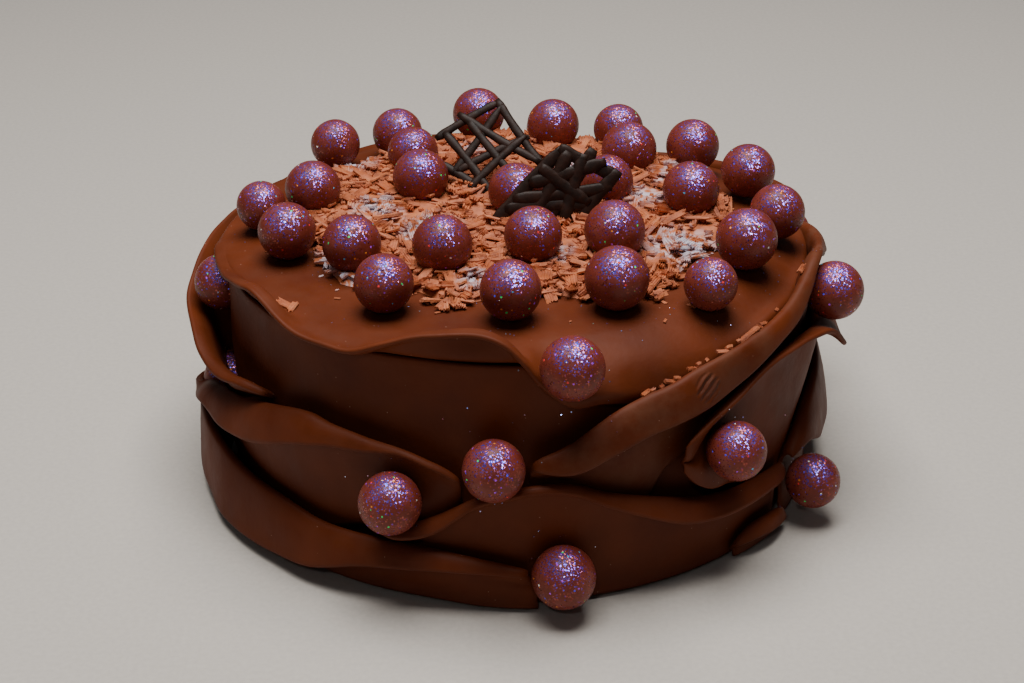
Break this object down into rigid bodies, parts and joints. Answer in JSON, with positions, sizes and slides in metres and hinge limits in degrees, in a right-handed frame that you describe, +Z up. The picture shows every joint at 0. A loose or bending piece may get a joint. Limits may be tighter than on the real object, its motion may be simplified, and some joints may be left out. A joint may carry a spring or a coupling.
{
  "type": "chocolate sponge cake",
  "caption": "Round chocolate sponge cake wrapped in draped strips of rolled chocolate, topped with flaky chocolate, glittered chocolate balls and piped lattices.",
  "frame": {"origin": "centre of the cake's underside, on the surface it stands on", "axes": "+Z up, -Y towards the side that the picture shows, +X to the right of it"},
  "size_m": [0.2464, 0.2631, 0.1269],
  "materials": {
    "coating": "smooth rolled brown chocolate coating",
    "drapery": "satin rolled modelling chocolate",
    "flaky_chocolate": "dry crumbled flaky milk chocolate",
    "dark_chocolate": "piped dark chocolate with a low gloss",
    "glitter_ball": "milk chocolate dusted with fine purple glitter"
  },
  "bodies": {
    "root": {"cake_core": "coating", "top_sheet": "drapery", "wrap_sheet": "drapery", "right_roll": "drapery", "left_roll": "drapery", "right_rim": "drapery", "front_roll": "drapery", "low_roll": "drapery", "left_flare": "drapery", "right_low": "drapery", "corner_flap": "drapery", "back_roll": "drapery", "back_mid": "drapery", "flake_bed": "flaky_chocolate", "lattice_crossed": "dark_chocolate", "lattice_filled": "dark_chocolate", "ball_top_01": "glitter_ball", "ball_top_02": "glitter_ball", "ball_top_03": "glitter_ball", "ball_top_04": "glitter_ball", "ball_top_05": "glitter_ball", "ball_top_06": "glitter_ball", "ball_top_07": "glitter_ball", "ball_top_08": "glitter_ball", "ball_top_09": "glitter_ball", "ball_top_10": "glitter_ball", "ball_top_11": "glitter_ball", "ball_top_12": "glitter_ball", "ball_top_13": "glitter_ball", "ball_top_14": "glitter_ball", "ball_top_15": "glitter_ball", "ball_top_16": "glitter_ball", "ball_top_17": "glitter_ball", "ball_top_18": "glitter_ball", "ball_top_19": "glitter_ball", "ball_top_20": "glitter_ball", "ball_top_21": "glitter_ball", "ball_top_22": "glitter_ball", "ball_top_23": "glitter_ball", "ball_top_24": "glitter_ball", "ball_top_25": "glitter_ball", "ball_top_26": "glitter_ball", "ball_side_01": "glitter_ball", "ball_side_02": "glitter_ball", "ball_side_03": "glitter_ball", "ball_side_04": "glitter_ball", "ball_side_05": "glitter_ball", "ball_side_06": "glitter_ball", "ball_side_07": "glitter_ball", "ball_side_08": "glitter_ball", "ball_side_09": "glitter_ball", "ball_side_10": "glitter_ball", "ball_side_11": "glitter_ball", "ball_side_12": "glitter_ball", "ball_side_13": "glitter_ball", "ball_side_14": "glitter_ball"}
  },
  "joints": []
}
